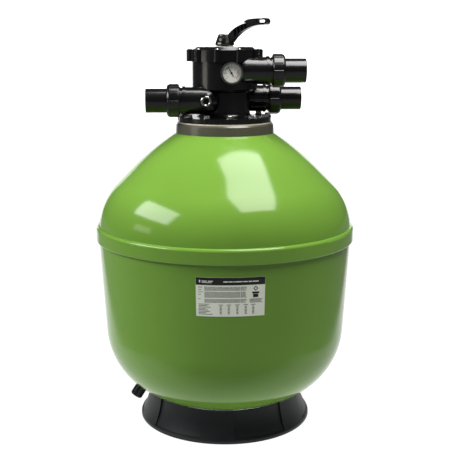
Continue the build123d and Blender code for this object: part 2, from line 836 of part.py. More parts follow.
with BuildPart() as lid_screw:
    with BuildSketch(Plane(origin=screw_place + Vector(0, 0, screw_head_z), z_dir=(0, 0, 1))):
        Circle(lid_screw_head_radius)
    extrude(amount=lid_screw_head_height)
    chamfer(lid_screw.edges().group_by(Axis.Z)[-1], 0.7)
    with BuildSketch(Plane(origin=screw_place + Vector(0, 0, screw_top_z), z_dir=(0, 0, 1))):
        RegularPolygon(lid_screw_head_radius / 2, 6, major_radius=False)
    extrude(amount=-3, mode=Mode.SUBTRACT)
    with BuildSketch(Plane(origin=screw_place + Vector(0, 0, screw_head_z), z_dir=(0, 0, -1))):
        Circle(lid_screw_radius)
    extrude(amount=screw_head_z - lid_insert_low_z - 0.5)

with BuildPart() as lid_insert:
    with BuildSketch(Plane(origin=screw_place + Vector(0, 0, lid_insert_low_z), z_dir=(0, 0, 1))):
        Circle(lid_insert_radius)
        Circle(lid_screw_radius + running_gap, mode=Mode.SUBTRACT)
    extrude(amount=split_z - lid_insert_low_z)

lid_step = 360 / lid_bolt_count
save(on_circle(lid_screw.part, lid_bolt_count, lid_step), "lid_screws")
save(on_circle(lid_insert.part, lid_bolt_count, lid_step), "lid_inserts")

# ================================================================ rotor, its gasket and its spring
rotor_low_z = seat_z + rotor_gasket_thick
rotor_high_z = rotor_low_z + rotor_thick
spring_low_z = rotor_high_z + loose_gap
spring_washer_low_z = lid_roof_low_z - washer_height
stem_groove_zs = (lid_roof_low_z - 5, lid_roof_low_z + 2)

with BuildPart() as rotor_gasket:
    with BuildSketch(Plane.XY.offset(seat_z)):
        Circle(rotor_radius)
    extrude(amount=rotor_gasket_thick)
    for k in range(6):
        add(make_sector(riser_radius, chamber_mouth, seat_z, rotor_low_z, k * 60, web_thick / 2),
            mode=Mode.SUBTRACT)

save(rotor_gasket.part, "rotor_gasket")

with BuildPart() as rotor:
    with BuildSketch(Plane.XZ):
        with BuildLine():
            Polyline(
                (0, rotor_low_z),
                (rotor_radius, rotor_low_z),
                (rotor_radius, rotor_low_z + 5),
                (rotor_radius - 20, rotor_high_z),
                (stem_radius, rotor_high_z),
                (stem_radius, stem_top_z - 1),
                (stem_radius - 1, stem_top_z),
                (0, stem_top_z),
                (0, rotor_low_z),
            )
        make_face()
    revolve(axis=Axis.Z)
    # one sector lets water through, and a pocket below joins two others
    pocket_web = web_thick / 2 + 1
    add(make_sector(riser_radius, chamber_mouth, rotor_low_z, rotor_high_z, -60, pocket_web),
        mode=Mode.SUBTRACT)
    for middle in (60, 120):
        add(make_sector(riser_radius, chamber_mouth, rotor_low_z, rotor_low_z + 4, middle, pocket_web),
            mode=Mode.SUBTRACT)
    for groove_z in stem_groove_zs:
        with BuildSketch(Plane.XY.offset(groove_z - stem_groove_half)):
            Circle(stem_radius)
            Circle(stem_radius - stem_groove_depth, mode=Mode.SUBTRACT)
        extrude(amount=2 * stem_groove_half, mode=Mode.SUBTRACT)
    with BuildSketch(Plane(origin=(0, 0, pin_z), x_dir=heading(handle_azimuth),
                           z_dir=heading(handle_azimuth - 90))):
        Circle(pin_radius + running_gap)
    extrude(amount=stem_radius + 2, both=True, mode=Mode.SUBTRACT)

save(rotor.part, "rotor")

spindle_rings = [make_oring(Plane.XY.offset(z), stem_radius - 1.27, 1.2) for z in stem_groove_zs]
save(Compound(children=spindle_rings), "spindle_orings")

with BuildPart() as spring:
    spring_height = spring_washer_low_z - spring_low_z - 2 * spring_wire - loose_gap
    with BuildLine(Plane.XY.offset(spring_low_z + spring_wire)):
        coil = Helix(spring_height / spring_turns, spring_height, spring_radius)
    with BuildSketch(Plane(origin=coil @ 0, z_dir=coil % 0)):
        Circle(spring_wire)
    sweep(path=coil, is_frenet=True)

save(spring.part, "spring")
save(make_ring(stem_radius + 6.4, spring_radius + 4, spring_washer_low_z, lid_roof_low_z), "spring_washer")
thrust_top_z = lid_top_z + thrust_washer_height
save(make_ring(stem_radius + 0.4, handle_low_radius, lid_top_z, thrust_top_z), "thrust_washer")

# ================================================================ handle and its pin
handle_low_z = thrust_top_z + heel_gap
handle_out = heading(handle_azimuth)
handle_side = heading(handle_azimuth - 90)
handle_plane = Plane(origin=(0, 0, 0), x_dir=handle_out, z_dir=handle_side)
handle_level = Plane(origin=(0, 0, 0), x_dir=handle_out, z_dir=(0, 0, 1))

arm_under = ThreePointArc(*arm_under_points)
arm_over = ThreePointArc(*arm_over_points)
arm_tip = arm_under_points[-1]


def arc_height(arc, reach):
    """Height above the lid of an arc of the arm, at this reach from the spindle."""
    centre = arc.arc_center
    rise = sqrt(arc.radius**2 - (reach - centre.X) ** 2)
    return centre.Y + rise


def at_lid(points):
    """Points of the handle's outline, given from the lid's top, in the row's heights."""
    return [(reach, lid_top_z + rise) for reach, rise in points]


with BuildPart() as handle:
    # hub: a cone that the slotted spindle passes through
    with BuildSketch(handle_plane):
        with BuildLine():
            Polyline(
                (0, handle_low_z),
                (handle_heel, handle_low_z),
                (handle_low_radius, handle_low_z + 4.5),
                (handle_low_radius - 0.6, handle_low_z + 7),
                (handle_top_radius, handle_top_z - 2),
                (handle_top_radius - 2, handle_top_z),
                (0, handle_top_z),
                (0, handle_low_z),
            )
        make_face()
    revolve(axis=Axis.Z)
    # boss around the pin
    with BuildSketch(Plane(origin=(0, 0, pin_z), x_dir=handle_out, z_dir=handle_side)):
        Circle(pin_radius + 4.5)
    extrude(amount=pin_half - 0.5, both=True)
    # arched arm
    with BuildSketch(handle_plane):
        with BuildLine():
            under = ThreePointArc(*at_lid(arm_under_points))
            over = ThreePointArc(*at_lid(arm_over_points))
            Polyline(over @ 0, *at_lid([(10, 15)]), under @ 0)
            Polyline(under @ 1, *at_lid([(arm_tip[0], 59)]), over @ 1)
        make_face()
    extrude(amount=arm_half, both=True)
    # side pockets between ribs, which leave a web along the middle
    for reach in arm_pocket_reaches:
        corners = at_lid([
            (reach - 3, arc_height(arm_under, reach - 3) + arm_skin),
            (reach + 3.5, arc_height(arm_under, reach + 3.5) + arm_skin),
            (reach + 1, arc_height(arm_over, reach + 1) - arm_skin),
            (reach - 5.5, arc_height(arm_over, reach - 5.5) - arm_skin),
        ])
        for side in (1, -1):
            with BuildSketch(handle_plane.offset(side * arm_web)):
                with BuildLine():
                    Polyline(*corners, close=True)
                make_face()
            extrude(amount=side * arm_half, mode=Mode.SUBTRACT)
    # grip with a rounded end
    with BuildSketch(handle_plane):
        with BuildLine():
            crest = ThreePointArc(*at_lid(grip_over_points))
            nose = ThreePointArc(crest @ 1, *at_lid([grip_nose, arm_tip]))
            Polyline(nose @ 1, *at_lid([(90, 51.5), (70, 54), (55.5, 56.5), (57, 59.5)]), crest @ 0)
        make_face()
    extrude(amount=grip_half, both=True)
    # eye through the grip, and the spindle's slot
    with BuildSketch(handle_plane):
        with Locations(at_lid([grip_eye])[0]):
            SlotOverall(24, 6.4)
    extrude(amount=grip_half, both=True, mode=Mode.SUBTRACT)
    with BuildSketch(handle_level.offset(handle_low_z)):
        SlotOverall(2 * (stem_radius + 7.5), 2 * (stem_radius + loose_gap))
    extrude(amount=handle_top_z - handle_low_z, mode=Mode.SUBTRACT)
    with BuildSketch(Plane(origin=(0, 0, pin_z), x_dir=handle_out, z_dir=handle_side)):
        Circle(pin_radius + running_gap)
    extrude(amount=pin_half + 1, both=True, mode=Mode.SUBTRACT)

save(handle.part, "handle")

with BuildPart() as handle_pin:
    with BuildSketch(Plane(origin=(0, 0, pin_z), x_dir=handle_out, z_dir=handle_side)):
        Circle(pin_radius)
    extrude(amount=pin_half, both=True)

save(handle_pin.part, "handle_pin")

# ================================================================ unions
for name, (side, y, z) in ports.items():
    axis = Axis((0, y, z), (side, 0, 0))
    nut_inner = port_thread_radius + loose_gap
    lip_r = tail_radius + 0.4
    lip_at = nut_high - nut_lip
    with BuildPart() as union_nut:
        with BuildSketch(port_section(side, y, z)):
            with BuildLine():
                Polyline(
                    (nut_low, nut_inner),
                    (nut_low, nut_radius - 2.5),
                )
                ThreePointArc((nut_low, nut_radius - 2.5), (nut_low + 1, nut_radius - 0.8),
                              (nut_low + 3, nut_radius))
                Line((nut_low + 3, nut_radius), (nut_high - 7, nut_radius))
                ThreePointArc((nut_high - 7, nut_radius), (nut_high - 2, nut_radius - 2.2),
                              (nut_high, nut_radius - 6.5))
                Polyline(
                    (nut_high, nut_radius - 6.5),
                    (nut_high, lip_r),
                    (lip_at, lip_r),
                    (lip_at, nut_inner),
                    (nut_low, nut_inner),
                )
            make_face()
        revolve(axis=axis)
        with BuildSketch(port_plane(side, y, z, nut_low + 2.5)):
            with PolarLocations(nut_radius - 1.4, nut_ribs):
                Circle(2.3)
        extrude(amount=nut_high - nut_low - 9)
    save(union_nut.part, f"{name}_union_nut")

    tail_start = port_face + loose_gap
    with BuildPart() as union_tail:
        with BuildSketch(port_section(side, y, z)):
            with BuildLine():
                socket_at = tail_end - pipe_socket_depth
                Polyline(
                    (tail_start, port_bore),
                    (tail_start, port_thread_radius - 0.4),
                    (tail_start + tail_collar, port_thread_radius - 0.4),
                    (tail_start + tail_collar, tail_radius),
                    (tail_end - 1, tail_radius),
                    (tail_end, tail_radius - 1),
                    (tail_end, pipe_socket_radius),
                    (socket_at, pipe_socket_radius),
                    (socket_at, port_bore),
                    (tail_start, port_bore),
                )
            make_face()
        revolve(axis=axis)
    save(union_tail.part, f"{name}_union_tail")
    oring_plane = port_plane(side, y, z, port_face - port_groove_depth / 2)
    oring = make_oring(oring_plane, port_oring_radius, port_oring_section)
    save(oring, f"{name}_union_oring")

# ================================================================ sight glass
with BuildPart() as sight_oring:
    with BuildSketch(sight_plane.offset(-sight_lens_thick - sight_seal_thick)):
        Circle(sight_lens_radius - 0.7)
        Circle(sight_bore + 0.9, mode=Mode.SUBTRACT)
    extrude(amount=sight_seal_thick)
with BuildPart() as sight_glass:
    with BuildSketch(sight_plane.offset(-sight_lens_thick)):
        Circle(sight_lens_radius)
    extrude(amount=sight_lens_thick)
with BuildPart() as sight_retainer:
    with BuildSketch(sight_plane):
        Circle(sight_lens_radius + 1)
        Circle(sight_bore, mode=Mode.SUBTRACT)
    extrude(amount=3.5)
    chamfer(sight_retainer.edges().group_by(Axis.Y)[0], 0.9)
save(sight_oring.part, "sight_oring")
save(sight_glass.part, "sight_glass")
save(sight_retainer.part, "sight_retainer")

# ================================================================ pressure gauge
gauge_out = heading(gauge_azimuth)
pointer_pin = 0.8


def gauge_at(radius):
    return radial_plane(gauge_azimuth, radius, gauge_z)


def gauge_disc(solid_radius, low, high, hole=0.0):
    """A disc or ring on the gauge's axis, between two distances from the valve's axis."""
    with BuildPart() as disc:
        with BuildSketch(gauge_at(low)):
            Circle(solid_radius)
            if hole > 0:
                Circle(hole, mode=Mode.SUBTRACT)
        extrude(amount=high - low)
    return disc.part


with BuildPart() as gauge_case:
    add(gauge_disc(gauge_case_radius, gauge_back, gauge_front - 4))
    add(gauge_disc(gauge_case_radius - 4, gauge_back + 2, gauge_front), mode=Mode.SUBTRACT)
    add(gauge_disc(gauge_dial_radius + 0.2, gauge_dial_seat, gauge_front), mode=Mode.SUBTRACT)
    add(gauge_disc(gauge_stem_radius + 0.15, gauge_back - 1, gauge_back + 3), mode=Mode.SUBTRACT)
save(gauge_case.part, "gauge_case")

with BuildPart() as gauge_bezel:
    add(gauge_disc(gauge_bezel_radius, gauge_front - 8, gauge_front, gauge_case_radius + 0.1))
    add(gauge_disc(gauge_bezel_radius, gauge_front - 2.5, gauge_front, gauge_window_radius))
save(gauge_bezel.part, "gauge_bezel")

save(gauge_disc(gauge_case_radius - 0.1, gauge_front - 4, gauge_front - 2.6), "gauge_lens")
save(gauge_disc(gauge_dial_radius, gauge_dial_seat, gauge_dial_seat + 0.8, pointer_pin + 0.1), "gauge_dial")

with BuildPart() as gauge_stem:
    add(gauge_disc(gauge_stem_radius, gauge_boss_end - gauge_thread_length, gauge_back + 2))
    with BuildSketch(gauge_at(gauge_boss_end)):
        RegularPolygon(7, 6, major_radius=False)
    extrude(amount=gauge_back - gauge_boss_end)
    with BuildSketch(gauge_at(gauge_back + 2)):
        Rectangle(16, 11)
    extrude(amount=6)
    add(gauge_disc(2.2, gauge_boss_end - gauge_thread_length, gauge_back - 3), mode=Mode.SUBTRACT)
    add(gauge_disc(pointer_pin + running_gap, gauge_back + 3, gauge_back + 10), mode=Mode.SUBTRACT)
save(gauge_stem.part, "gauge_stem")

needle_low = gauge_dial_seat + 1.3
needle_turn = radians(needle_rest)
needle_across = Vector(0, 0, 1).cross(gauge_out) * cos(needle_turn) - Vector(0, 0, 1) * sin(needle_turn)
needle_plane = Plane(origin=gauge_at(needle_low).origin, x_dir=needle_across, z_dir=gauge_out)
with BuildPart() as gauge_needle:
    with BuildSketch(needle_plane):
        with BuildLine():
            Polyline((-0.5, 17), (0.5, 17), (1.0, -9), (-1.0, -9), (-0.5, 17))
        make_face()
        Circle(2.4)
    extrude(amount=0.8)
    add(gauge_disc(pointer_pin, gauge_back + 4, needle_low))
save(gauge_needle.part, "gauge_needle")

# ================================================================ standpipe, diffuser and laterals
save(make_ring(pipe_radius - pipe_wall, pipe_radius, pipe_low_z, riser_bore_top_z - loose_gap), "standpipe")
riser_oring_radius = pipe_radius + riser_oring_section + 0.03
save(make_oring(Plane.XY.offset(riser_groove_z), riser_oring_radius, riser_oring_section), "standpipe_oring")

with BuildPart() as diffuser:
    with BuildSketch(Plane.XZ):
        with BuildLine():
            Polyline(
                (pipe_radius + 0.4, diffuser_low_z),
                (diffuser_radius - 3, diffuser_low_z),
                (diffuser_radius, diffuser_low_z + 3),
                (diffuser_radius, flange_low_z),
                (chamber_r - loose_gap, flange_low_z),
                (chamber_r - loose_gap, flange_low_z + 10),
                (chamber_r - loose_gap - 3, flange_low_z + 10),
                (chamber_r - loose_gap - 3, flange_low_z - 5),
                (diffuser_radius - 3, flange_low_z - 9),
                (diffuser_radius - 3, diffuser_low_z + 3),
                (pipe_radius + 0.4, diffuser_low_z + 3),
                (pipe_radius + 0.4, diffuser_low_z),
            )
        make_face()
    revolve(axis=Axis.Z)
    for k in range(10):
        with BuildSketch(Plane(origin=(0, 0, diffuser_low_z + 24), x_dir=heading(18 * k),
                               z_dir=heading(18 * k + 90))):
            SlotOverall(30, 6, rotation=90)
        extrude(amount=diffuser_radius + 5, both=True, mode=Mode.SUBTRACT)
save(diffuser.part, "diffuser")

crown_inner_z = lower_crown_z - lower_crown_radius + tank_wall
lateral_azimuths = [drain_azimuth + (k + 0.5) * 360 / lateral_count for k in range(lateral_count)]

with BuildPart() as lateral_hub:
    with BuildSketch(Plane.XZ):
        with BuildLine():
            Polyline(
                (0, crown_inner_z + 0.7),
                (18, crown_inner_z + 0.7),
                (18, pivot_z - 26),
                (pivot_radius + 6, pivot_z - 26),
                (pivot_radius + 6, pivot_z + 10),
                (pipe_radius + 6, pivot_z + 12),
                (pipe_radius + 6, pivot_z + 30),
                (pipe_radius + pipe_gap, pivot_z + 30),
                (pipe_radius + pipe_gap, pipe_low_z - loose_gap),
                (pipe_radius - pipe_wall, pipe_low_z - loose_gap),
                (pipe_radius - pipe_wall, pivot_z - 20),
                (0, pivot_z - 20),
                (0, crown_inner_z + 0.7),
            )
        make_face()
    revolve(axis=Axis.Z)
    for azimuth in lateral_azimuths:
        with BuildSketch(Plane(origin=(0, 0, pivot_z - 12), x_dir=heading(azimuth), z_dir=(0, 0, 1))):
            with Locations((pivot_radius + 4, 0)):
                Rectangle(30, tongue_thick + 0.6)
        extrude(amount=30, mode=Mode.SUBTRACT)
        pivot = heading(azimuth) * pivot_radius + Vector(0, 0, pivot_z)
        with BuildSketch(Plane(origin=pivot, x_dir=heading(azimuth), z_dir=heading(azimuth + 90))):
            Circle(trunnion_radius + running_gap)
        extrude(amount=trunnion_half + loose_gap, both=True, mode=Mode.SUBTRACT)
save(lateral_hub.part, "lateral_hub")

first = heading(lateral_azimuths[0])
with BuildPart() as lateral:
    along = Plane(
        origin=first * lateral_root + Vector(0, 0, pivot_z), x_dir=heading(lateral_azimuths[0] + 90), z_dir=first
    )
    with BuildSketch(along):
        Circle(lateral_radius)
    extrude(amount=lateral_tip - lateral_root)
    fillet(lateral.faces().sort_by(Axis((0, 0, pivot_z), first))[-1].edges(), 4)
    with BuildSketch(along.offset(4)):
        Circle(lateral_radius - lateral_wall)
    extrude(amount=lateral_tip - lateral_root - 8, mode=Mode.SUBTRACT)
    for k in range(lateral_slits):
        with BuildSketch(along.offset(12 + k * 9)):
            with Locations((0, lateral_radius), (0, -lateral_radius)):
                Rectangle(16, 12)
        extrude(amount=1.2, mode=Mode.SUBTRACT)
    with BuildSketch(Plane(origin=first * pivot_radius + Vector(0, 0, pivot_z), x_dir=first,
                           z_dir=heading(lateral_azimuths[0] + 90))):
        Circle(6)
        with Locations((7.5, 0)):
            Rectangle(15, 12)
    extrude(amount=tongue_thick / 2, both=True)
    with BuildSketch(Plane(origin=first * pivot_radius + Vector(0, 0, pivot_z), x_dir=first,
                           z_dir=heading(lateral_azimuths[0] + 90))):
        Circle(trunnion_radius)
    extrude(amount=trunnion_half, both=True)

for k in range(lateral_count):
    save(lateral.part.rotate(Axis.Z, k * 360 / lateral_count), f"lateral_{k + 1}")

# ================================================================ drain
inner_face = -tank_wall
drain_bore = drain_tube_radius - drain_tube_wall
with BuildPart() as drain_spigot:
    add(make_drain_ring(0, drain_flange_radius, drain_seat, drain_seat + 1.6))
    add(make_drain_ring(0, drain_tube_radius, inner_face - 14, drain_tube_end))
    add(make_drain_ring(0, drain_bore, inner_face - 15, drain_tube_end + 1), mode=Mode.SUBTRACT)
save(drain_spigot.part, "drain_spigot")

with BuildPart() as drain_gasket:
    add(make_drain_ring(drain_tube_radius + pipe_gap, drain_flange_radius, -2, drain_seat))
    add(make_lower_envelope(-label_gap, belt_low_z), mode=Mode.SUBTRACT)
save(drain_gasket.part, "drain_gasket")

nut_face = inner_face - 1.0
with BuildPart() as drain_backnut:
    with BuildSketch(drain_plane(nut_face)):
        RegularPolygon(drain_tube_radius + 4.5, 6, major_radius=False)
        Circle(drain_tube_radius + running_gap, mode=Mode.SUBTRACT)
    extrude(amount=-6)
save(drain_backnut.part, "drain_backnut")

with BuildPart() as drain_screen:
    add(make_drain_ring(drain_tube_radius + 0.1, drain_screen_radius, nut_face - 38, nut_face - 6.2))
    add(make_drain_ring(0, drain_screen_radius, nut_face - 40, nut_face - 38))
    for k in range(6):
        with BuildSketch(drain_plane(nut_face - 16 - k * 4)):
            Rectangle(2 * drain_screen_radius + 3, 14)
        extrude(amount=-1.2, mode=Mode.SUBTRACT)
save(drain_screen.part, "drain_screen")

seal_end = drain_tube_end + 0.1 + drain_seal_thick
with BuildPart() as drain_cap:
    with BuildSketch(drain_plane(drain_cap_start)):
        Circle(drain_cap_radius - 0.7)
    extrude(amount=drain_cap_length)
    with BuildSketch(drain_plane(drain_cap_start + 1.5)):
        with PolarLocations(drain_cap_radius - 1.0, 16):
            Circle(1.3)
    extrude(amount=drain_cap_length - 4)
    chamfer(drain_cap.faces().sort_by(Axis(drain_foot, drain_out))[-1].edges(), 1.2)
    with BuildSketch(drain_plane(drain_cap_start)):
        Circle(drain_tube_radius + loose_gap)
    extrude(amount=seal_end + 0.2 - drain_cap_start, mode=Mode.SUBTRACT)
save(drain_cap.part, "drain_cap")
save(make_drain_ring(drain_bore, drain_tube_radius - 0.1, drain_tube_end + 0.1, seal_end), "drain_cap_seal")

# ================================================================ data label
label_half = degrees(asin(label_width / 2 / wall_radius))
label_high_z = belt_low_z - label_drop
label_low_z = label_high_z - label_height
with BuildPart() as data_label:
    with BuildSketch(meridian(-label_half)):
        with BuildLine():
            near, far = -label_gap, -(label_gap + label_thick)
            Polyline(
                (lower_wall_r(label_low_z, near), label_low_z),
                (lower_wall_r(label_low_z, far), label_low_z),
                (lower_wall_r(label_high_z, far), label_high_z),
                (lower_wall_r(label_high_z, near), label_high_z),
                (lower_wall_r(label_low_z, near), label_low_z),
            )
        make_face()
    revolve(axis=Axis.Z, revolution_arc=2 * label_half)
save(data_label.part, "data_label")
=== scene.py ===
import json
from math import asin, atan2, cos, radians, sin, sqrt

import bmesh
import bpy
from mathutils import Matrix, Vector


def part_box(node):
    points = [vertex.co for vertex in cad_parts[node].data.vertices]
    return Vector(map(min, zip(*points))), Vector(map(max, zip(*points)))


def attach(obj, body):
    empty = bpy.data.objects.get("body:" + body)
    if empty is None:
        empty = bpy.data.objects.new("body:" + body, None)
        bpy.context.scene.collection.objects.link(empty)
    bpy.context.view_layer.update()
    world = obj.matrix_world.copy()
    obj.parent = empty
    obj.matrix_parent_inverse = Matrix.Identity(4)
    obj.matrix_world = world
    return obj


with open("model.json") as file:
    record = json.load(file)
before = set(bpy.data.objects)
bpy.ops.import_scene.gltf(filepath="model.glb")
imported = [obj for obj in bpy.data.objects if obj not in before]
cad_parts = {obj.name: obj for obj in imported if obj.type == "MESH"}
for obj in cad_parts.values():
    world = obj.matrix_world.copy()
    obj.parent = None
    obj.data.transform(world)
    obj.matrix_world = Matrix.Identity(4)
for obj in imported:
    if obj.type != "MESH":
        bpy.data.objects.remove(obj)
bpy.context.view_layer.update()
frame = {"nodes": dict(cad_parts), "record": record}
nodes = frame["nodes"]
scene = bpy.context.scene
MM = 0.001  # a millimetre in metres


# ------------------------------------------------------------------ colours and materials
def srgb(r, g, b):
    """Linear colour of an 8-bit sRGB one."""
    def linear(c):
        c = c / 255
        return c / 12.92 if c <= 0.04045 else ((c + 0.055) / 1.055) ** 2.4
    return (linear(r), linear(g), linear(b), 1.0)


class Look:
    """A Principled material, with short calls for the nodes that vary it over the surface."""

    def __init__(self, name, **sockets):
        self.mat = bpy.data.materials.new(name)
        self.mat.use_nodes = True
        self.tree = self.mat.node_tree
        self.shader = self.tree.nodes["Principled BSDF"]
        for key, value in sockets.items():
            self.shader.inputs[key.replace("_", " ")].default_value = value
        self.place = self.tree.nodes.new("ShaderNodeTexCoord").outputs["Object"]

    def node(self, kind, **values):
        """A new node, with each value given to its property or its input of that name."""
        made = self.tree.nodes.new(kind)
        for key, value in values.items():
            if hasattr(made, key):
                setattr(made, key, value)
            else:
                made.inputs[key.replace("_", " ")].default_value = value
        return made

    def link(self, out, into):
        self.tree.links.new(out, into)

    def stretched(self, x, y, z):
        """Object coordinates scaled along each axis."""
        made = self.node("ShaderNodeMapping")
        made.inputs["Scale"].default_value = (x, y, z)
        self.link(self.place, made.inputs["Vector"])
        return made.outputs["Vector"]

    def noise(self, scale, detail=3.0, rough=0.55, at=None):
        """Noise over the object's coordinates, or over those given."""
        made = self.node("ShaderNodeTexNoise", Scale=scale, Detail=detail, Roughness=rough)
        self.link(at or self.place, made.inputs["Vector"])
        return made.outputs["Fac"]

    def ramp(self, fac, *stops):
        """Colour ramp through (position, colour) stops."""
        made = self.node("ShaderNodeValToRGB")
        points = made.color_ramp.elements
        while len(points) < len(stops):
            points.new(0.5)
        for point, (where, colour) in zip(points, stops):
            point.position = where
            point.color = colour if len(colour) == 4 else (*colour, 1)
        self.link(fac, made.inputs["Fac"])
        return made.outputs["Color"]

    def math(self, kind, *values):
        """Math node of numbers or sockets."""
        made = self.node("ShaderNodeMath", operation=kind)
        for into, value in zip(made.inputs, values):
            if isinstance(value, (int, float)):
                into.default_value = value
            else:
                self.link(value, into)
        return made.outputs["Value"]

    def range(self, fac, low, high, start=0.3, end=0.7):
        """Turns start to end into low to high. Noise mostly lies between 0.3 and 0.7."""
        made = self.node("ShaderNodeMapRange")
        for key, value in (("From Min", start), ("From Max", end), ("To Min", low), ("To Max", high)):
            made.inputs[key].default_value = value
        self.link(fac, made.inputs["Value"])
        return made.outputs["Result"]

    def bump(self, *heights):
        """Bump from (height socket, strength, depth in metres) triples, one after another."""
        normal = None
        for height, strength, depth in heights:
            made = self.node("ShaderNodeBump", Strength=strength, Distance=depth)
            self.link(height, made.inputs["Height"])
            if normal:
                self.link(normal, made.inputs["Normal"])
            normal = made.outputs["Normal"]
        self.link(normal, self.shader.inputs["Normal"])

    def colour(self, out):
        self.link(out, self.shader.inputs["Base Color"])

    def rough(self, out):
        self.link(out, self.shader.inputs["Roughness"])


def moulded(name, base, dark, rough, grain, grain_size=900, swell=18, ior=1.5):
    """Moulded plastic: a slow tone change, a fine grain and slightly uneven gloss."""
    look = Look(name, IOR=ior)
    slow = look.noise(swell, 2.0)
    fine = look.noise(grain_size, 2.0)
    look.colour(look.ramp(slow, (0.3, dark), (0.7, base)))
    look.rough(look.range(fine, rough[0], rough[1]))
    look.bump((slow, 0.05, 0.0006), (fine, grain, 0.0002))
    return look.mat


def metal(name, colour, rough, brushed=(1, 1, 1), size=400, grain=0.08):
    """Metal with fine lines, which brushed stretches along one axis."""
    look = Look(name, Metallic=1.0)
    lines = look.noise(size, 3.0, 0.6, look.stretched(*brushed))
    groove_tone = 0.82
    dark = tuple(c * groove_tone for c in colour[:3])
    look.colour(look.ramp(lines, (0.3, dark), (0.7, colour)))
    look.rough(look.range(lines, rough[0], rough[1]))
    look.bump((lines, grain, 0.0001))
    return look.mat


def lens(name, colour, rough, alpha=1.0):
    """Clear plastic. A lower alpha lets light straight through to what lies behind a thin window."""
    look = Look(name, IOR=1.49, Transmission_Weight=1.0, Alpha=alpha)
    smear = look.noise(120, 2.0)
    pale_tone = 1.03
    pale = tuple(min(1, c * pale_tone) for c in colour[:3])
    look.colour(look.ramp(smear, (0.3, colour), (0.7, pale)))
    look.rough(look.range(smear, rough[0], rough[1]))
    return look.mat


materials = {
    "tank_green": moulded("tank_green", srgb(107, 149, 56), srgb(103, 144, 53), (0.11, 0.14), 0.02,
                          700, 5, ior=1.36),
    "base_black": moulded("base_black", srgb(24, 27, 29), srgb(18, 20, 22), (0.4, 0.5), 0.16, 1300,
                          ior=1.36),
    "neck_grey": moulded("neck_grey", srgb(84, 83, 70), srgb(76, 75, 63), (0.2, 0.27), 0.05, 1200),
    "label_grey": moulded("label_grey", srgb(236, 242, 228), srgb(230, 236, 222), (0.32, 0.38), 0.02),
    "valve_black": moulded("valve_black", srgb(14, 14, 15), srgb(9, 9, 10), (0.17, 0.24), 0.06, 1500),
    "seal_rubber": moulded("seal_rubber", srgb(22, 22, 22), srgb(16, 16, 16), (0.5, 0.62), 0.12, 1600),
    "gasket_cream": moulded("gasket_cream", srgb(214, 208, 186), srgb(200, 194, 172), (0.55, 0.65), 0.1),
    "stainless": metal("stainless", srgb(205, 204, 198), (0.16, 0.3), (1, 1, 8)),
    "brass": metal("brass", srgb(196, 158, 86), (0.2, 0.34)),
    "rotor_grey": moulded("rotor_grey", srgb(74, 75, 77), srgb(66, 67, 69), (0.38, 0.46), 0.08),
    "gauge_black": moulded("gauge_black", srgb(28, 28, 28), srgb(22, 22, 22), (0.36, 0.44), 0.1),
    "bezel_chrome": metal("bezel_chrome", srgb(190, 190, 186), (0.2, 0.26), (1, 1, 1), 250, 0.03),
    "dial_white": moulded("dial_white", srgb(250, 249, 243), srgb(245, 244, 237), (0.5, 0.58), 0.02),
    "needle_black": moulded("needle_black", srgb(24, 24, 24), srgb(16, 16, 16), (0.35, 0.45), 0.05),
    "clear_lens": lens("clear_lens", srgb(250, 252, 252), (0.02, 0.05), 0.15),
    "sight_lens": lens("sight_lens", srgb(140, 146, 150), (0.06, 0.12)),
    "pvc_white": moulded("pvc_white", srgb(188, 188, 180), srgb(178, 178, 170), (0.34, 0.42), 0.05),
    "ink_black": moulded("ink_black", srgb(12, 12, 12), srgb(8, 8, 8), (0.3, 0.38), 0.02),
    "ink_grey": moulded("ink_grey", srgb(84, 88, 80), srgb(74, 78, 70), (0.34, 0.4), 0.02),
    "ink_red": moulded("ink_red", srgb(206, 60, 44), srgb(196, 52, 38), (0.45, 0.5), 0.02),
    "ink_green": moulded("ink_green", srgb(70, 140, 74), srgb(62, 130, 66), (0.45, 0.5), 0.02),
}

slot_of = {part["node"]: part["material_slot"] for part in frame["record"]["subparts"]}
for name, obj in nodes.items():
    for material_slot in obj.material_slots:
        material_slot.link = "OBJECT"
        material_slot.material = materials[slot_of[name]]


# ------------------------------------------------------------------ mesh helpers
# inks aren't slots of the record, so each mark below is made as an object of its own with the material
# named for it
sharp_angle = radians(35)


def finish_mesh(name, bm, material, smooth=True):
    """Makes an object from a bmesh, gives it its material and lets it ride on the filter."""
    bmesh.ops.recalc_face_normals(bm, faces=bm.faces)
    mesh = bpy.data.meshes.new(name)
    bm.to_mesh(mesh)
    bm.free()
    obj = bpy.data.objects.new(name, mesh)
    scene.collection.objects.link(obj)
    mesh.materials.append(materials[material])
    if smooth:
        mesh.shade_smooth()
        mesh.set_sharp_from_angle(angle=sharp_angle)
    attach(obj, "filter")


def add_slab(bm, lower, upper):
    """A closed thin solid between two rows-by-columns grids of points."""
    grids = [[[bm.verts.new(p) for p in row] for row in grid] for grid in (lower, upper)]
    low, top = grids
    rows, columns = len(low), len(low[0])
    for r in range(rows - 1):
        for c in range(columns - 1):
            for grid in grids:
                bm.faces.new((grid[r][c], grid[r][c + 1], grid[r + 1][c + 1], grid[r + 1][c]))
    edge = [(0, c) for c in range(columns)] + [(r, columns - 1) for r in range(1, rows)]
    edge += [(rows - 1, c) for c in range(columns - 2, -1, -1)]
    edge += [(r, 0) for r in range(rows - 2, 0, -1)]
    for (r0, c0), (r1, c1) in zip(edge, edge[1:] + edge[:1]):
        bm.faces.new((low[r0][c0], low[r1][c1], top[r1][c1], top[r0][c0]))


# ------------------------------------------------------------------ data label
label_low, label_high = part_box("data_label")
label_points = [v.co for v in nodes["data_label"].data.vertices]


def ring_radius(points, z):
    """Outer radius of the points at a height."""
    return max(sqrt(p.x * p.x + p.y * p.y) for p in points if abs(p.z - z) < 1 * MM)


